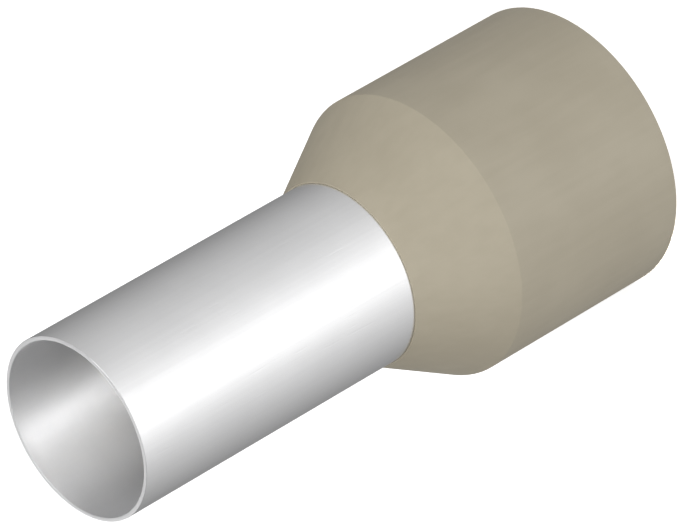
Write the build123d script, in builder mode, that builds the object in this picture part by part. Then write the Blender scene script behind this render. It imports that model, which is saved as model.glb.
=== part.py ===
"""Insulated wire ferrule for a stranded conductor of 35 square millimetres.

A thin tin-plated copper sleeve takes the bare strands and is crimped on them. A moulded
plastic collar grips the sleeve, and its wide end takes the conductor's insulation. Inside
the collar the sleeve flares out against a funnel, which guides the strands into the
sleeve and keeps the collar from slipping off.

The ferrule stands on the open end of its collar. The origin is the centre of that end, and
+Z runs along the axis to the sleeve's mouth. Both pieces are turned shapes, so each one is
a section in the plane of X and Z, revolved about Z. A point of a section is given as its
radius and its height.
"""

import os
from math import cos, radians, tan

from build123d import *

# Sleeve, in millimetres
sleeve_bore = 8.3  # clear diameter for the strands
sleeve_wall = 0.2
sleeve_reach = 16.0  # bare length in front of the collar
flare_bend_radius = 0.8  # outside face of the bend where the flare leaves the tube
cut_edge_break = 0.04  # chamfer on the four cut edges, at the mouth and at the flared end

# Collar, in millimetres and degrees
collar_bore = 12.7  # clear diameter for the insulation
collar_wall = 0.4
collar_length = 14.0
shoulder_length = 4.2  # outer cone, measured along the axis
funnel_angle = 30.0  # inner cone and the sleeve's flare, from the axis
grip_length = 1.6  # straight bore that holds the sleeve, before its corner is rounded
lip_wall = 0.05  # thin front edge of the shoulder, round the sleeve
shoulder_edge_radius = 0.15  # crease between shoulder and barrel
funnel_foot_radius = 0.4  # hollow corner between funnel and barrel
rim_edge_radius = 0.08  # outer edge of the open end
rim_lead_in = 0.1  # chamfer on the inner edge of the open end

# Fits between the two pieces
seat_clearance = 0.02  # between the sleeve's outside and the collar
flare_margin = 0.55  # between the flared end and the barrel's bore

# Radii that follow
sleeve_radius = sleeve_bore / 2 + sleeve_wall
grip_radius = sleeve_radius + seat_clearance
lip_radius = grip_radius + lip_wall
bore_radius = collar_bore / 2
barrel_radius = bore_radius + collar_wall
collar_bend_radius = flare_bend_radius - seat_clearance

# Heights that follow
funnel_slope = tan(radians(funnel_angle))
mouth_height = collar_length + sleeve_reach
shoulder_height = collar_length - shoulder_length
grip_height = collar_length - grip_length
funnel_height = grip_height - (bore_radius - grip_radius) / funnel_slope

# Middle line of the sleeve's wall, which runs parallel to the collar's bore and funnel
half_wall = sleeve_wall / 2
tube_radius = sleeve_radius - half_wall
bend_height = grip_height - (half_wall + seat_clearance) * tan(radians(funnel_angle / 2))
flare_radius = bore_radius - flare_margin - half_wall * cos(radians(funnel_angle))
flare_height = bend_height - (flare_radius - tube_radius) / funnel_slope
middle_bend_radius = flare_bend_radius + half_wall

# Corners of the collar's section
barrel_edge = (barrel_radius, 0)
shoulder_edge = (barrel_radius, shoulder_height)
lip_outside = (lip_radius, collar_length)
lip_inside = (grip_radius, collar_length)
grip_end = (grip_radius, grip_height)
funnel_foot = (bore_radius, funnel_height)
bore_edge = (bore_radius, 0)


def corner(section: BuildSketch, point: tuple[float, float]) -> Vertex:
    """The vertex of a section that lies at a point."""
    return section.vertices().sort_by_distance(point)[0]


# Sleeve: one drawn tube of even wall, flared at the end inside the collar
with BuildPart() as sleeve:
    with BuildSketch(Plane.XZ) as sleeve_section:
        with BuildLine():
            FilletPolyline(
                (tube_radius, mouth_height),
                (tube_radius, bend_height),
                (flare_radius, flare_height),
                radius=middle_bend_radius,
            )
        trace(line_width=sleeve_wall)
        chamfer(sleeve_section.vertices().sort_by(Axis.Y)[-2:], length=cut_edge_break)
        chamfer(sleeve_section.vertices().sort_by(Axis.Y)[:2], length=cut_edge_break)
    revolve(axis=Axis.Z)

# Collar: one moulding with a barrel, an outer shoulder and an inner funnel
with BuildPart() as collar:
    with BuildSketch(Plane.XZ) as collar_section:
        with BuildLine():
            Polyline(
                barrel_edge,
                shoulder_edge,
                lip_outside,
                lip_inside,
                grip_end,
                funnel_foot,
                bore_edge,
                close=True,
            )
        make_face()
        fillet(corner(collar_section, shoulder_edge), radius=shoulder_edge_radius)
        fillet(corner(collar_section, grip_end), radius=collar_bend_radius)
        fillet(corner(collar_section, funnel_foot), radius=funnel_foot_radius)
        fillet(corner(collar_section, barrel_edge), radius=rim_edge_radius)
        chamfer(corner(collar_section, bore_edge), length=rim_lead_in)
    revolve(axis=Axis.Z)

sleeve.part.label = "sleeve"
collar.part.label = "collar"
os.makedirs("parts", exist_ok=True)
export_step(sleeve.part, "parts/sleeve.step")
export_step(collar.part, "parts/collar.step")
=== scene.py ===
"""Insulated wire ferrule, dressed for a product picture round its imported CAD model.

Two turned pieces stand for the two CAD nodes: a thin sleeve of tin-plated copper and a
collar of beige polypropylene. Each is a section in a Geometry Nodes tree, rounded at its
corners and turned about Z, in the frame of the CAD model and in metres. The draw lines and
scuffs on the plate, the rings down its bore and the grain of the moulding are in the
materials alone. The stage is a pale floor under soft light, and a camera that looks down on
the mouth of the standing ferrule and is rolled, so that the ferrule lies across the picture.
"""

from math import cos, degrees, radians, sin, tan
from types import SimpleNamespace

import bpy
from bpy.props import (
    FloatProperty,
    FloatVectorProperty,
    IntProperty,
    PointerProperty,
)
from mathutils import Matrix, Vector


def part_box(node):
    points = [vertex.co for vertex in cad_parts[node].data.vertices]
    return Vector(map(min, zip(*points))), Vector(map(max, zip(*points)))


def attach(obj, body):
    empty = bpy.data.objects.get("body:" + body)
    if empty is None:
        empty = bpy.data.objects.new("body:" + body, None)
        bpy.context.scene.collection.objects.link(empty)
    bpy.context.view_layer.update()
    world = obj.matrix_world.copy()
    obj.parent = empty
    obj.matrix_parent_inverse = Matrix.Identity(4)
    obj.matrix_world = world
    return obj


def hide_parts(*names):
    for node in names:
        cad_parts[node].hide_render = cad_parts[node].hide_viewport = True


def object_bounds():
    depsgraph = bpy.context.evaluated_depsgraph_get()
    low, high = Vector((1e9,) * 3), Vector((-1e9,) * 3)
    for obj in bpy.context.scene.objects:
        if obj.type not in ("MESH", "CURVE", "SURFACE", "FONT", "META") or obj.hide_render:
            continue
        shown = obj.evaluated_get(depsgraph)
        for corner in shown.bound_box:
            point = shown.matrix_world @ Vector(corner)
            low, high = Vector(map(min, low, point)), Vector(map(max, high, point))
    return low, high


bl_info = {
    "name": "Wire Ferrule",
    "version": (1, 0, 0),
    "blender": (4, 5, 0),
    "location": "3D View > Sidebar > Ferrule",
    "description": "Builds an insulated wire ferrule and the stage that it is pictured on",
    "category": "Object",
}

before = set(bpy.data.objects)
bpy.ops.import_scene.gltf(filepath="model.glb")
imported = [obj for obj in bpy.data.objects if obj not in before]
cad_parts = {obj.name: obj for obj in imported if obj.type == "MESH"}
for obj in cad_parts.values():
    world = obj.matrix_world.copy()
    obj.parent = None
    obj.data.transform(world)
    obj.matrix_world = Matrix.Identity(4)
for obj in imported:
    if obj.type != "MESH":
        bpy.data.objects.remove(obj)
cad_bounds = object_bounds()
sleeve_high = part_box("sleeve")[1]
collar_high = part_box("collar")[1]

MILLIMETRE = 0.001

# Sizes that the sleeve and the collar share, and the fits between them
SLEEVE_BORE_RADIUS = 4.15 * MILLIMETRE
SLEEVE_WALL = 0.2 * MILLIMETRE
COLLAR_BORE_RADIUS = 6.35 * MILLIMETRE
FLARE_MARGIN = 0.55 * MILLIMETRE  # from the corner of the flared end to the collar's bore
FUNNEL_ANGLE = 30.0  # slope of funnel and flare, in degrees from the axis
FLARE_BEND_RADIUS = 0.8 * MILLIMETRE
SEAT_CLEARANCE = 0.02 * MILLIMETRE  # by which the funnel's bend is tighter than the flare's
PRESS_GAP = 0.004 * MILLIMETRE  # round the tube in the grip, into which it is pressed


# Properties

def length(name, description, metres):
    """A size that is shown in the scene's length unit."""
    return FloatProperty(
        name=name,
        description=description,
        default=metres,
        min=0.0,
        precision=5,
        unit="LENGTH",
        subtype="DISTANCE",
    )


def angle(name, description, turn):
    """An angle that is given in degrees and kept in radians."""
    return FloatProperty(
        name=name,
        description=description,
        default=radians(turn),
        unit="ROTATION",
        subtype="ANGLE",
    )


def colour(name, description, red, green, blue):
    """A colour with linear values."""
    return FloatVectorProperty(
        name=name,
        description=description,
        default=(red, green, blue, 1.0),
        min=0.0,
        max=1.0,
        size=4,
        subtype="COLOR",
    )


def share(name, description, value):
    """A plain factor from 0 to 1."""
    return FloatProperty(
        name=name,
        description=description,
        default=value,
        min=0.0,
        max=1.0,
        subtype="FACTOR",
    )


def amount(name, description, value):
    """A plain number from 0 up, which may pass 1."""
    return FloatProperty(name=name, description=description, default=value, min=0.0)


def count(name, description, number, least):
    """A whole number of faces."""
    return IntProperty(name=name, description=description, default=number, min=least)


class Fineness:
    """How finely either piece is turned."""

    row_spacing: length("Row spacing", "Longest face along the section", 0.5 * MILLIMETRE)
    corner_faces: count("Corner faces", "Faces round each rounded corner", 8, 1)
    segments: count("Segments", "Faces round the axis", 256, 3)


class FERRULE_PG_sleeve(Fineness, bpy.types.PropertyGroup):
    """Sizes of the sleeve's section."""

    bore_radius: length("Bore radius", "Inside of the tube", SLEEVE_BORE_RADIUS)
    wall: length("Wall", "Thickness of the drawn tube", SLEEVE_WALL)
    mouth_height: length("Mouth height", "Height of the open mouth", sleeve_high.z)
    bend_height: length(
        "Bend height", "Corner of the outside where the flare starts", 12.3946 * MILLIMETRE
    )
    bend_radius: length(
        "Bend radius", "Outside of the bend between tube and flare", FLARE_BEND_RADIUS
    )
    flare_angle: angle("Flare angle", "Slope of the flare from the axis", FUNNEL_ANGLE)
    flare_radius: length(
        "Flare radius", "Outside of the flared end", COLLAR_BORE_RADIUS - FLARE_MARGIN
    )
    mouth_radius: length("Mouth radius", "Rounding of the mouth's cut edges", 0.02 * MILLIMETRE)
    edge_radius: length("Edge radius", "Rounding of the flare's cut edges", 0.04 * MILLIMETRE)


class FERRULE_PG_collar(Fineness, bpy.types.PropertyGroup):
    """Sizes of the collar's section."""

    barrel_radius: length("Barrel radius", "Outside of the barrel", collar_high.x)
    bore_radius: length("Bore radius", "Inside of the barrel", COLLAR_BORE_RADIUS)
    front_height: length("Front height", "Height of the front lip", collar_high.z)
    shoulder_length: length("Shoulder length", "Outer cone along the axis", 4.2 * MILLIMETRE)
    grip_radius: length(
        "Grip radius", "Bore that holds the sleeve", SLEEVE_BORE_RADIUS + SLEEVE_WALL + PRESS_GAP
    )
    grip_length: length("Grip length", "Straight bore behind the lip", 1.6 * MILLIMETRE)
    lip_wall: length("Lip wall", "Thin front edge of the shoulder", 0.066 * MILLIMETRE)
    funnel_angle: angle("Funnel angle", "Slope of the inner cone from the axis", FUNNEL_ANGLE)
    bend_radius: length(
        "Bend radius", "Rounding between grip and funnel", FLARE_BEND_RADIUS - SEAT_CLEARANCE
    )
    foot_radius: length("Foot radius", "Hollow between funnel and barrel", 0.4 * MILLIMETRE)
    crease_radius: length("Crease radius", "Edge between shoulder and barrel", 0.15 * MILLIMETRE)
    rim_radius: length("Rim radius", "Outer edge of the open end", 0.08 * MILLIMETRE)
    lead_in: length("Lead-in", "Chamfer on the inner edge of the open end", 0.1 * MILLIMETRE)
    edge_radius: length("Edge radius", "Rounding of the lip and the lead-in", 0.015 * MILLIMETRE)


class FERRULE_PG_tin(bpy.types.PropertyGroup):
    """Finish of the tin-plated sleeve."""

    bright: colour("Bright tin", "Colour of the clean plate", 0.88, 0.88, 0.885)
    dull: colour("Dull tin", "Colour of the cloudy patches", 0.85, 0.85, 0.855)
    # Painted shade: the bore's colour darkens to this away from the mouth, standing for the shade
    # deep in the bore
    painted_bore_shade: colour("Deep tin", "Painted shade of the plate deep in the bore", 0.42, 0.42, 0.42)
    cloud_tone: share("Cloud tone", "Share of the clouds in the plate's tone", 0.8)
    line_tone: share("Line tone", "Share of the draw lines in the plate's tone", 0.2)
    painted_shade_depth: length("Fade depth", "How far down the bore the painted shade deepens", 9.0 * MILLIMETRE)
    roughness: share("Roughness", "Mean roughness of the plate outside", 0.3)
    cloud_swing: share("Cloud swing", "Change of roughness with the clouds outside", 0.05)
    line_swing: share("Line swing", "Change of roughness with the draw lines", 0.06)
    scuff_swing: share("Scuff swing", "How much rougher a scuff is", 0.05)
    bore_roughness: share("Bore roughness", "Mean roughness inside the bore", 0.6)
    bore_swing: share("Bore swing", "Change of roughness with the clouds in the bore", 0.06)
    ring_swing: share("Ring swing", "Change of roughness with the bore's rings", 0.04)
    bore_grain: share(
        "Bore grain", "How much more the bore's fine rings scatter along the axis", 0.8
    )
    line_width: length("Line width", "Width of a draw line or a bore ring", 0.2 * MILLIMETRE)
    line_depth: length("Line depth", "Height of the draw lines", 0.006 * MILLIMETRE)
    ring_relief: share("Ring relief", "Height of the rings as a share of the lines'", 0.3)
    cloud_size: length("Cloud size", "Size of the cloudy patches", 2.6 * MILLIMETRE)
    grain_size: length("Grain size", "Size of the plate's grain", 0.04 * MILLIMETRE)
    grain_relief: share("Grain relief", "Height of the grain on the lines and rings", 0.3)
    scuff_size: length("Scuff size", "Width of a scuff", 0.12 * MILLIMETRE)
    scuff_relief: share("Scuff relief", "Depth of a scuff across the lines", 0.4)


class FERRULE_PG_plastic(bpy.types.PropertyGroup):
    """Finish of the moulded collar."""

    light: colour("Light beige", "Lighter tone of the mottling", 0.428, 0.385, 0.294)
    dark: colour("Dark beige", "Darker tone of the mottling", 0.396, 0.354, 0.268)
    mottle_tone: share("Mottle tone", "Share of the mottled patches in the tone", 0.6)
    flow_tone: share("Flow tone", "Share of the streaks in the tone", 0.4)
    roughness: share("Roughness", "Mean roughness of the moulded skin", 0.46)
    skin_swing: share("Skin swing", "Change of roughness with the skin's waves", 0.1)
    grain_swing: share("Grain swing", "Change of roughness with the fine grain", 0.08)
    refraction: amount("Refraction", "Refractive index of polypropylene", 1.49)
    grain_size: length("Grain size", "Size of the mould's fine grain", 0.06 * MILLIMETRE)
    grain_depth: length("Grain depth", "Height of the fine grain", 0.0015 * MILLIMETRE)
    skin_size: length("Skin size", "Size of the skin's slight waves", 0.9 * MILLIMETRE)
    skin_relief: amount("Skin relief", "Height of the waves as a multiple of the grain's", 1.6)
    mottle_size: length("Mottle size", "Size of the mottled patches", 3.5 * MILLIMETRE)
    flow_width: length("Flow width", "Width of a streak from moulding", 0.5 * MILLIMETRE)


class FERRULE_PG_studio(bpy.types.PropertyGroup):
    """Light, floor and camera."""

    softbox_distance: length("Softbox distance", "From the ferrule to each softbox", 0.9)
    softbox_width: length("Softbox width", "Side of each square softbox", 0.5)
    lamp_colour: colour("Lamp", "Slightly cool, against the beige funnel", 0.98, 0.985, 1.0)
    ambient: amount("Ambient", "Even light from all round", 0.1)
    backdrop: amount("Backdrop", "Brightness of the pale backdrop", 1.05)
    floor_radius: length("Floor radius", "Half the width of the round floor", 3.0)
    floor_colour: colour("Floor", "Colour of the pale floor", 0.9, 0.9, 0.9)
    floor_shade: share("Floor shade", "Brightness of the floor's darkest grain", 0.98)
    floor_grain: length("Floor grain", "Size of the floor's grain", 1.5 * MILLIMETRE)
    floor_roughness: share("Floor roughness", "Roughness of the matt floor", 0.95)
    floor_shine: share("Floor shine", "Strength of the floor's own reflection", 0.2)
    floor_glow: amount("Floor glow", "Light of its own, as of a light table", 0.5)
    camera_elevation: angle("Camera elevation", "Height of the view above the horizon", 34.995)
    camera_roll: angle("Camera roll", "Turn of the camera about its line of sight", -119.943)
    camera_distance: length(
        "Camera distance", "From the mouth to the camera", 328.83 * MILLIMETRE
    )
    camera_lens: FloatProperty(
        name="Lens",
        description="Focal length for a 36 mm wide sensor",
        default=407.7,
        min=1.0,
        subtype="DISTANCE_CAMERA",
    )


# Nodes

class Value:
    """A node's output. Arithmetic on it, also with plain numbers, adds Math nodes."""

    def __init__(self, tree, socket):
        self.tree = tree
        self.socket = socket

    def __add__(self, other):
        return self.tree.math("ADD", self, other)

    __radd__ = __add__

    def __sub__(self, other):
        return self.tree.math("SUBTRACT", self, other)

    def __rsub__(self, other):
        return self.tree.math("SUBTRACT", other, self)

    def __mul__(self, other):
        return self.tree.math("MULTIPLY", self, other)

    __rmul__ = __mul__

    def __truediv__(self, other):
        return self.tree.math("DIVIDE", self, other)

    def __pow__(self, other):
        return self.tree.math("POWER", self, other)


class Tree:
    """A node tree that is filled in one node at a time."""

    def __init__(self, nodes):
        self.nodes = nodes

    def node(self, kind, settings=None, inputs=None, output=0):
        """Adds a node, sets it up, feeds its sockets and returns one of its outputs.

        The setting items is the number of entries of an Index Switch.
        """
        made = self.nodes.nodes.new(kind)
        for name, setting in (settings or {}).items():
            if name == "items":
                while len(made.index_switch_items) < setting:
                    made.index_switch_items.new()
            else:
                setattr(made, name, setting)
        sockets = {socket.identifier: socket for socket in made.inputs}
        for key, fed in (inputs or {}).items():
            socket = sockets.get(key) or made.inputs[key]
            if isinstance(fed, Value):
                self.nodes.links.new(fed.socket, socket)
            else:
                socket.default_value = fed
        outputs = {socket.identifier: socket for socket in made.outputs}
        return Value(self, outputs.get(output) or made.outputs[output]) if made.outputs else made

    def math(self, operation, *values):
        """A Math node on one to three values."""
        return self.node("ShaderNodeMath", {"operation": operation}, dict(enumerate(values)))

    def blend(self, first, second, factor):
        """One colour over another."""
        return self.node(
            "ShaderNodeMix",
            {"data_type": "RGBA"},
            {"Factor_Float": factor, "A_Color": first, "B_Color": second},
            "Result_Color",
        )

    def step(self, value, low, high):
        """Rises smoothly from 0 at low to 1 at high."""
        return self.node(
            "ShaderNodeMapRange",
            {"interpolation_type": "SMOOTHSTEP"},
            {"Value": value, "From Min": low, "From Max": high},
        )

    def noise(self, place, cell, detail=2.0, stretch=(1.0, 1.0, 1.0)):
        """Soft noise with cells of a given size in metres, longer along an axis of small stretch."""
        scaled = self.node("ShaderNodeMapping", {}, {"Vector": place, "Scale": stretch})
        return self.node(
            "ShaderNodeTexNoise", {}, {"Vector": scaled, "Scale": 1.0 / cell, "Detail": detail}
        )

    def bump(self, relief, depth):
        """The normal of a relief that is a given depth in metres where its value is 1."""
        return self.node("ShaderNodeBump", {}, {"Distance": depth, "Height": relief})


# Turned pieces

SOCKET_KINDS = {"FLOAT": "NodeSocketFloat", "INT": "NodeSocketInt"}


def sized_tree(name, sizes):
    """A Geometry Nodes tree with a named input for each size of a group.

    Gives the tree, its inputs under the names of the sizes, and their identifiers.
    """
    group = bpy.data.node_groups.new(name, "GeometryNodeTree")
    group.interface.new_socket("Geometry", in_out="OUTPUT", socket_type="NodeSocketGeometry")
    fields = [field for field in sizes.bl_rna.properties if field.type in SOCKET_KINDS]
    identifiers = {}
    for field in fields:
        socket = group.interface.new_socket(
            field.name, in_out="INPUT", socket_type=SOCKET_KINDS[field.type]
        )
        socket.description = field.description
        socket.default_value = field.default
        identifiers[field.identifier] = socket.identifier
    tree = Tree(group)
    given = group.nodes.new("NodeGroupInput")
    size = SimpleNamespace(
        **{field.identifier: Value(tree, given.outputs[field.name]) for field in fields}
    )
    return tree, size, identifiers


def rounded_outline(tree, size, corners):
    """A closed curve through the corners of a section, out from the bore and downwards."""
    index = tree.node("GeometryNodeInputIndex")
    places = {"Index": index}
    roundings = {"Index": index}
    for entry, (radius, height, rounding) in enumerate(corners, start=1):
        places[entry] = tree.node(
            "ShaderNodeCombineXYZ", {}, {"X": radius - size.bore_radius, "Y": 0.0 - height}
        )
        roundings[entry] = rounding
    switch = {"items": len(corners)}
    place = tree.node("GeometryNodeIndexSwitch", {"data_type": "VECTOR", **switch}, places)
    rounding = tree.node("GeometryNodeIndexSwitch", {"data_type": "FLOAT", **switch}, roundings)
    points = tree.node("GeometryNodePoints", {}, {"Count": len(corners), "Position": place})
    outline = tree.node("GeometryNodePointsToCurves", {}, {"Points": points})
    closed = tree.node("GeometryNodeSetSplineCyclic", {}, {"Geometry": outline, "Cyclic": True})
    return tree.node(
        "GeometryNodeFilletCurve",
        {"mode": "POLY"},
        {"Curve": closed, "Count": size.corner_faces, "Radius": rounding},
    )


def divided_outline(tree, size, outline):
    """The same curve with its long runs cut, so that none is longer than the row spacing."""
    here = tree.node("GeometryNodeInputPosition")
    following = tree.node("GeometryNodeOffsetPointInCurve", {}, {"Offset": 1}, "Point Index")
    ahead = tree.node(
        "GeometryNodeFieldAtIndex",
        {"data_type": "FLOAT_VECTOR", "domain": "POINT"},
        {"Index": following, "Value": here},
    )
    run = tree.node(
        "ShaderNodeVectorMath", {"operation": "DISTANCE"}, {0: here, 1: ahead}, "Value"
    )
    cuts = tree.math("FLOOR", run / size.row_spacing)
    return tree.node("GeometryNodeSubdivideCurve", {}, {"Curve": outline, "Cuts": cuts})


def turning_tree(name, sizes, section, material):
    """A tree that turns a section about Z, and the identifiers of its inputs.

    section gives the corners of the piece's section from the inputs, each as its radius,
    its height and the radius that it is rounded to.
    """
    tree, size, identifiers = sized_tree(name, sizes)
    outline = rounded_outline(tree, size, section(tree, size))
    rows = divided_outline(tree, size, outline)
    ring = tree.node(
        "GeometryNodeCurvePrimitiveCircle",
        {"mode": "RADIUS"},
        {"Resolution": size.segments, "Radius": size.bore_radius},
    )
    upright = tree.node("GeometryNodeSetCurveNormal", {"mode": "Z_UP"}, {"Curve": ring})
    turned = tree.node("GeometryNodeCurveToMesh", {}, {"Curve": upright, "Profile Curve": rows})
    outwards = tree.node("GeometryNodeFlipFaces", {}, {"Mesh": turned})
    smooth = tree.node("GeometryNodeSetShadeSmooth", {}, {"Geometry": outwards})
    realized = tree.node("GeometryNodeRealizeInstances", {}, {"Geometry": smooth})
    finished = tree.node(
        "GeometryNodeSetMaterial", {}, {"Geometry": realized, "Material": material}
    )
    tree.node("NodeGroupOutput", {}, {"Geometry": finished})
    return tree.nodes, identifiers


def sleeve_section(tree, size):
    """Corners of a tube of even wall that opens into a flare at its lower end."""
    outside = size.bore_radius + size.wall
    wall_rise = size.wall * tree.math("SINE", size.flare_angle)
    wall_reach = size.wall * tree.math("COSINE", size.flare_angle)
    inner_bend = size.bend_height - size.wall * tree.math("TANGENT", size.flare_angle / 2)
    slope = tree.math("TANGENT", size.flare_angle)
    flare_height = size.bend_height - (size.flare_radius - outside) / slope
    return [
        (outside, size.mouth_height, size.mouth_radius),
        (size.bore_radius, size.mouth_height, size.mouth_radius),
        (size.bore_radius, inner_bend, size.bend_radius + size.wall),
        (size.flare_radius - wall_reach, flare_height - wall_rise, size.edge_radius),
        (size.flare_radius, flare_height, size.edge_radius),
        (outside, size.bend_height, size.bend_radius),
    ]


def collar_section(tree, size):
    """Corners of a barrel with a shoulder outside and a funnel inside."""
    ground = 0.0
    shoulder_height = size.front_height - size.shoulder_length
    grip_height = size.front_height - size.grip_length
    slope = tree.math("TANGENT", size.funnel_angle)
    funnel_height = grip_height - (size.bore_radius - size.grip_radius) / slope
    return [
        (size.barrel_radius, ground, size.rim_radius),
        (size.barrel_radius, shoulder_height, size.crease_radius),
        (size.grip_radius + size.lip_wall, size.front_height, size.edge_radius),
        (size.grip_radius, size.front_height, size.edge_radius),
        (size.grip_radius, grip_height, size.bend_radius),
        (size.bore_radius, funnel_height, size.foot_radius),
        (size.bore_radius, size.lead_in, size.edge_radius),
        (size.bore_radius + size.lead_in, ground, size.edge_radius),
    ]


def turned_piece(name, node, sizes, section, material):
    """Turns a section into a plain mesh that stands for a CAD node."""
    tree, identifiers = turning_tree(name, sizes, section, material)
    piece = bpy.data.objects.new(name, bpy.data.meshes.new(name))
    bpy.context.scene.collection.objects.link(piece)
    turning = piece.modifiers.new("Turning", "NODES")
    turning.node_group = tree
    for field, identifier in identifiers.items():
        turning[identifier] = getattr(sizes, field)
    depsgraph = bpy.context.evaluated_depsgraph_get()
    made = bpy.data.meshes.new_from_object(
        piece.evaluated_get(depsgraph), preserve_all_data_layers=True, depsgraph=depsgraph
    )
    piece.modifiers.remove(turning)
    piece.data = made
    if not made.polygons:
        raise RuntimeError(f"{name}: the section gave no faces")
    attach(piece, "root")
    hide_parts(node)


# Finishes

# Stretches of a noise: far along the axis, far round it, as a scuff and as a moulded streak
ALONG = (1.0, 1.0, 0.015)
ROUND = (0.015, 0.015, 1.0)
SCUFFED = (1.0, 0.25, 0.06)
FLOWED = (1.0, 1.0, 0.12)

# Noise values between which a scuff sets in, and one tone passes into the other
SCUFF_START, SCUFF_FULL = 0.66, 0.74
TONE_START, TONE_FULL = 0.3, 0.7
NOISE_MEAN = 0.5

# Depths into the sleeve's wall, as shares of it, between which the bore's finish ends
FACE_START, FACE_END = 0.05, 0.25

# Turns the wide way of the bore's scatter from round the axis to along it
QUARTER_TURN = 0.25


def finish_tree(name):
    """An empty material and its tree."""
    material = bpy.data.materials.new(name)
    material.use_nodes = True
    material.node_tree.nodes.clear()
    return material, Tree(material.node_tree)


def swing(noise, reach):
    """How far a noise moves a value, up to half the reach either way."""
    return reach * (noise - NOISE_MEAN)


def off_the_bore(tree, place, height, sizes):
    """0 on the bore's face, also where it flares, and 1 on the rest of the sleeve."""
    flat = tree.node(
        "ShaderNodeVectorMath", {"operation": "MULTIPLY"}, {0: place, 1: (1.0, 1.0, 0.0)}
    )
    radius = tree.node("ShaderNodeVectorMath", {"operation": "LENGTH"}, {0: flat}, "Value")
    flare = tree.math("MAXIMUM", sizes.bend_height - height, 0.0) * tan(sizes.flare_angle)
    into_wall = radius - sizes.bore_radius - flare
    return tree.step(into_wall, FACE_START * sizes.wall, FACE_END * sizes.wall)


def tin_plate(look, sizes):
    """Satin tin: lengthwise draw lines, clouds and scuffs outside, fine rings in the bore, and
    painted shade that darkens the bore's colour away from the mouth.
    """
    material, tree = finish_tree("tin_plate")
    place = tree.node("ShaderNodeTexCoord", output="Object")
    height = tree.node("ShaderNodeSeparateXYZ", {}, {"Vector": place}, "Z")
    lines = tree.noise(place, look.line_width, detail=3.0, stretch=ALONG)
    rings = tree.noise(place, look.line_width, detail=3.0, stretch=ROUND)
    cloud = tree.noise(place, look.cloud_size, detail=3.0)
    grain = tree.noise(place, look.grain_size, detail=1.0)
    marks = tree.noise(place, look.scuff_size, stretch=SCUFFED)
    scuff = tree.step(marks, SCUFF_START, SCUFF_FULL)
    shade = tree.step(cloud * look.cloud_tone + lines * look.line_tone, TONE_START, TONE_FULL)
    plate = tree.blend(tuple(look.bright), tuple(look.dull), shade)
    # Painted shade: 0 at the mouth and 1 deep in the bore, darkening the bore's colour where its
    # shade falls
    painted_shade_mask = tree.step(sizes.mouth_height - height, 0.0, look.painted_shade_depth)

    roughness = look.roughness + swing(cloud, look.cloud_swing) + swing(lines, look.line_swing)
    relief = lines + look.grain_relief * grain - look.scuff_relief * scuff
    outer = tree.node(
        "ShaderNodeBsdfPrincipled",
        {},
        {
            "Base Color": plate,
            "Metallic": 1.0,
            "Roughness": roughness + look.scuff_swing * scuff,
            "Normal": tree.bump(relief, look.line_depth),
        },
    )

    roughness = look.bore_roughness + swing(cloud, look.bore_swing) + swing(rings, look.ring_swing)
    relief = rings + look.grain_relief * grain
    inner = tree.node(
        "ShaderNodeBsdfPrincipled",
        {},
        {
            # The bore's colour darkens with depth as painted shade
            "Base Color": tree.blend(plate, tuple(look.painted_bore_shade), painted_shade_mask),
            "Metallic": 1.0,
            "Roughness": roughness,
            "Anisotropic": look.bore_grain,
            "Anisotropic Rotation": QUARTER_TURN,
            "Normal": tree.bump(relief, look.ring_relief * look.line_depth),
        },
    )

    outside = off_the_bore(tree, place, height, sizes)
    shader = tree.node(
        "ShaderNodeMixShader", {}, {"Fac": outside, "Shader": inner, "Shader_001": outer}
    )
    tree.node("ShaderNodeOutputMaterial", {}, {"Surface": shader})
    return material


def polypropylene(look):
    """Moulded beige plastic: a fine grain, a slightly uneven skin and faint mottling."""
    material, tree = finish_tree("beige_polypropylene")
    place = tree.node("ShaderNodeTexCoord", output="Object")
    grain = tree.noise(place, look.grain_size)
    skin = tree.noise(place, look.skin_size)
    mottle = tree.noise(place, look.mottle_size, detail=3.0)
    flow = tree.noise(place, look.flow_width, stretch=FLOWED)
    shade = tree.step(look.mottle_tone * mottle + look.flow_tone * flow, TONE_START, TONE_FULL)
    roughness = look.roughness + swing(skin, look.skin_swing) + swing(grain, look.grain_swing)
    relief = grain + look.skin_relief * skin
    shader = tree.node(
        "ShaderNodeBsdfPrincipled",
        {},
        {
            "Base Color": tree.blend(tuple(look.light), tuple(look.dark), shade),
            "Roughness": roughness,
            "IOR": look.refraction,
            "Normal": tree.bump(relief, look.grain_depth),
        },
    )
    tree.node("ShaderNodeOutputMaterial", {}, {"Surface": shader})
    return material


def pale_floor(look):
    """A matt, near-white paper with the faintest grain."""
    material, tree = finish_tree("pale_floor")
    place = tree.node("ShaderNodeTexCoord", output="Object")
    fibre = tree.noise(place, look.floor_grain, detail=3.0)
    shade = tuple(look.floor_shade * value for value in look.floor_colour[:3]) + (1.0,)
    shader = tree.node(
        "ShaderNodeBsdfPrincipled",
        {},
        {
            "Base Color": tree.blend(tuple(look.floor_colour), shade, fibre),
            "Roughness": look.floor_roughness,
            "Specular IOR Level": look.floor_shine,
            "Emission Color": (1.0, 1.0, 1.0, 1.0),
            "Emission Strength": look.floor_glow,
        },
    )
    tree.node("ShaderNodeOutputMaterial", {}, {"Surface": shader})
    return material


# Stage

FLOOR_CORNERS = 96

# Glows of the surround: azimuth and elevation in degrees, sharpness and strength
GLOWS = (
    (-18.0, -25.0, 2.0, 0.885),
    (-18.0, -25.0, 8.0, 0.457),
    (-21.0, -28.0, 45.0, 0.498),
    (90.0, -25.0, 4.0, 0.384),
    (-110.0, -25.0, 4.0, 0.181),
)

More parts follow.
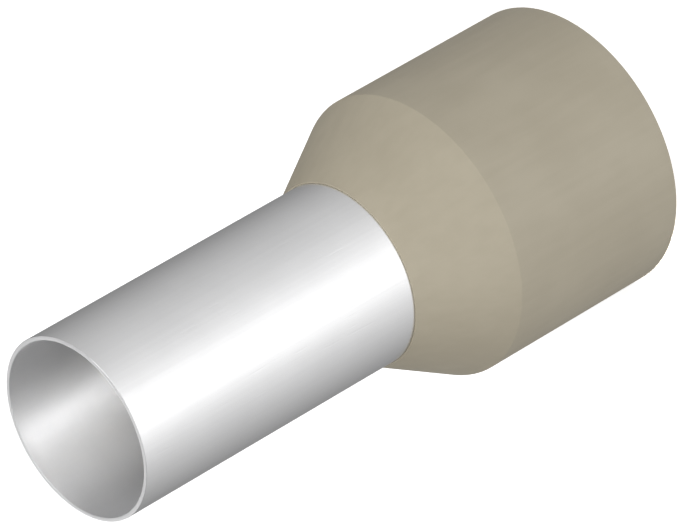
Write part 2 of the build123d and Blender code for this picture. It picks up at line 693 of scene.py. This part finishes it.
# Softboxes: name, azimuth and elevation in degrees, and power in watts
SOFTBOXES = (
    ("front", -45.0, 50.0, 1.25),
    ("top", -8.0, 75.0, 2.2),
    ("right", 60.0, 60.0, 2.88),
    ("side", 130.0, 50.0, 0.61),
    ("back", 180.0, 40.0, 0.45),
    ("rear", 195.0, 8.0, 1.6),
)

# Small lamps under the open end: name, place and diameter in millimetres, and power in watts
LAMPS = (
    ("lamp_side", (-5.4, -0.8, -2.0), 2.0, 0.0055),
    ("lamp_middle", (0.0, 0.0, -2.0), 3.0, 0.0026),
)

# How far the mouth's centre lies to the right of the line of sight and above it
MOUTH_RIGHT = -11.292 * MILLIMETRE
MOUTH_ABOVE = -6.968 * MILLIMETRE


def direction(azimuth, elevation):
    """Unit vector at an azimuth, from -Y towards +X, and an elevation, in degrees."""
    turn, rise = radians(azimuth), radians(elevation)
    return Vector((sin(turn) * cos(rise), -cos(turn) * cos(rise), sin(rise)))


def studio_world(look):
    """A surround that glows softly from a few sides, behind a plain pale backdrop."""
    world = bpy.data.worlds.new("studio")
    world.use_nodes = True
    world.node_tree.nodes.clear()
    tree = Tree(world.node_tree)
    towards = tree.node("ShaderNodeTexCoord", output="Generated")
    surround = look.ambient
    for azimuth, elevation, sharpness, glow in GLOWS:
        cosine = tree.node(
            "ShaderNodeVectorMath",
            {"operation": "DOT_PRODUCT"},
            {0: towards, 1: direction(azimuth, elevation)},
            "Value",
        )
        surround = surround + glow * (0.5 + 0.5 * cosine) ** sharpness
    seen = tree.node("ShaderNodeLightPath", output="Is Camera Ray")
    strength = seen * look.backdrop + (1 - seen) * surround
    sky = tree.node("ShaderNodeBackground", {}, {"Strength": strength})
    tree.node("ShaderNodeOutputWorld", {}, {"Surface": sky})
    bpy.context.scene.world = world


def area_light(name, place, back, shape, width, watts):
    """A flat light at a place, which shines away from its back."""
    light = bpy.data.lights.new(name, "AREA")
    light.shape = shape
    light.size = width
    light.energy = watts
    box = bpy.data.objects.new(name, light)
    box.location = place
    box.rotation_euler = back.to_track_quat("Z", "Y").to_euler()
    bpy.context.scene.collection.objects.link(box)
    return light


def softbox(name, aim, look, watts):
    """A square area light that faces the ferrule from a direction."""
    place = Vector((0.0, 0.0, 0.5 * cad_bounds[1].z)) + look.softbox_distance * aim
    area_light(name, place, aim, "SQUARE", look.softbox_width, watts)


def bore_lamp(name, place, width, look, watts):
    """A small round lamp below the open end, which shines up into the bore."""
    down = Vector((0.0, 0.0, -1.0))
    lamp = area_light(name, Vector(place) * MILLIMETRE, down, "DISK", width * MILLIMETRE, watts)
    lamp.color = look.lamp_colour[:3]


def pale_ground(look):
    """A wide disc that the ferrule stands on. Metal reflects the graded surround instead."""
    turns = [radians(360.0 * corner / FLOOR_CORNERS) for corner in range(FLOOR_CORNERS)]
    rim = [(look.floor_radius * cos(turn), look.floor_radius * sin(turn), 0.0) for turn in turns]
    mesh = bpy.data.meshes.new("floor")
    mesh.from_pydata(rim, [], [tuple(range(FLOOR_CORNERS))])
    mesh.materials.append(pale_floor(look))
    floor = bpy.data.objects.new("floor", mesh)
    floor.visible_diffuse = False
    floor.visible_glossy = False
    floor.visible_shadow = False
    bpy.context.scene.collection.objects.link(floor)


def picture_camera(look):
    """The camera of the picture, rolled so that the ferrule lies across it."""
    back = direction(0.0, degrees(look.camera_elevation))
    level = Vector((1.0, 0.0, 0.0))
    rise = back.cross(level)
    roll = look.camera_roll
    right = cos(roll) * level + sin(roll) * rise
    up = cos(roll) * rise - sin(roll) * level
    mouth = Vector((0.0, 0.0, sleeve_high.z))
    place = mouth - MOUTH_RIGHT * right - MOUTH_ABOVE * up + look.camera_distance * back
    axes = Matrix((right, up, back)).transposed().to_4x4()
    data = bpy.data.cameras.new("picture_camera")
    data.lens = look.camera_lens
    data.clip_start = 0.01
    data.clip_end = 10.0
    camera = bpy.data.objects.new("picture_camera", data)
    camera.matrix_world = Matrix.Translation(place) @ axes
    bpy.context.scene.collection.objects.link(camera)
    bpy.context.scene.camera = camera


# Operators

class FERRULE_OT_sleeve(bpy.types.Operator):
    """Turn the tin-plated sleeve"""

    bl_idname = "ferrule.sleeve"
    bl_label = "Tinned sleeve"

    def execute(self, context):
        """Builds the sleeve in place of its CAD node."""
        settings = context.scene
        turned_piece(
            "tinned_sleeve",
            "sleeve",
            settings.ferrule_sleeve,
            sleeve_section,
            tin_plate(settings.ferrule_tin, settings.ferrule_sleeve),
        )
        return {"FINISHED"}


class FERRULE_OT_collar(bpy.types.Operator):
    """Turn the moulded plastic collar"""

    bl_idname = "ferrule.collar"
    bl_label = "Moulded collar"

    def execute(self, context):
        """Builds the collar in place of its CAD node."""
        settings = context.scene
        turned_piece(
            "moulded_collar",
            "collar",
            settings.ferrule_collar,
            collar_section,
            polypropylene(settings.ferrule_plastic),
        )
        return {"FINISHED"}


class FERRULE_OT_studio(bpy.types.Operator):
    """Set up the floor, the soft light and the camera"""

    bl_idname = "ferrule.studio"
    bl_label = "Studio"

    def execute(self, context):
        """Builds the stage round the ferrule."""
        look = context.scene.ferrule_studio
        context.scene.view_settings.view_transform = "Standard"
        pale_ground(look)
        studio_world(look)
        for name, azimuth, elevation, watts in SOFTBOXES:
            softbox(name, direction(azimuth, elevation), look, watts)
        for name, place, width, watts in LAMPS:
            bore_lamp(name, place, width, look, watts)
        picture_camera(look)
        return {"FINISHED"}


class FERRULE_PT_sidebar(bpy.types.Panel):
    """Lists what the ferrule is built from"""

    bl_idname = "FERRULE_PT_sidebar"
    bl_label = "Wire ferrule"
    bl_space_type = "VIEW_3D"
    bl_region_type = "UI"
    bl_category = "Ferrule"

    def draw(self, context):
        """Shows one button for each operator."""
        for operator in OPERATORS:
            self.layout.operator(operator.bl_idname)


GROUPS = {
    "ferrule_sleeve": FERRULE_PG_sleeve,
    "ferrule_collar": FERRULE_PG_collar,
    "ferrule_tin": FERRULE_PG_tin,
    "ferrule_plastic": FERRULE_PG_plastic,
    "ferrule_studio": FERRULE_PG_studio,
}
OPERATORS = (FERRULE_OT_sleeve, FERRULE_OT_collar, FERRULE_OT_studio)


def register():
    """Registers the classes and hangs the properties on the scene."""
    for name, group in GROUPS.items():
        bpy.utils.register_class(group)
        setattr(bpy.types.Scene, name, PointerProperty(type=group))
    for part in (*OPERATORS, FERRULE_PT_sidebar):
        bpy.utils.register_class(part)


def unregister():
    """Takes back what register did."""
    for part in reversed((*OPERATORS, FERRULE_PT_sidebar)):
        bpy.utils.unregister_class(part)
    for name, group in reversed(GROUPS.items()):
        delattr(bpy.types.Scene, name)
        bpy.utils.unregister_class(group)


def main():
    """Builds the ferrule and its stage."""
    register()
    bpy.ops.ferrule.sleeve()
    bpy.ops.ferrule.collar()
    bpy.ops.ferrule.studio()


if __name__ == "__main__":
    main()
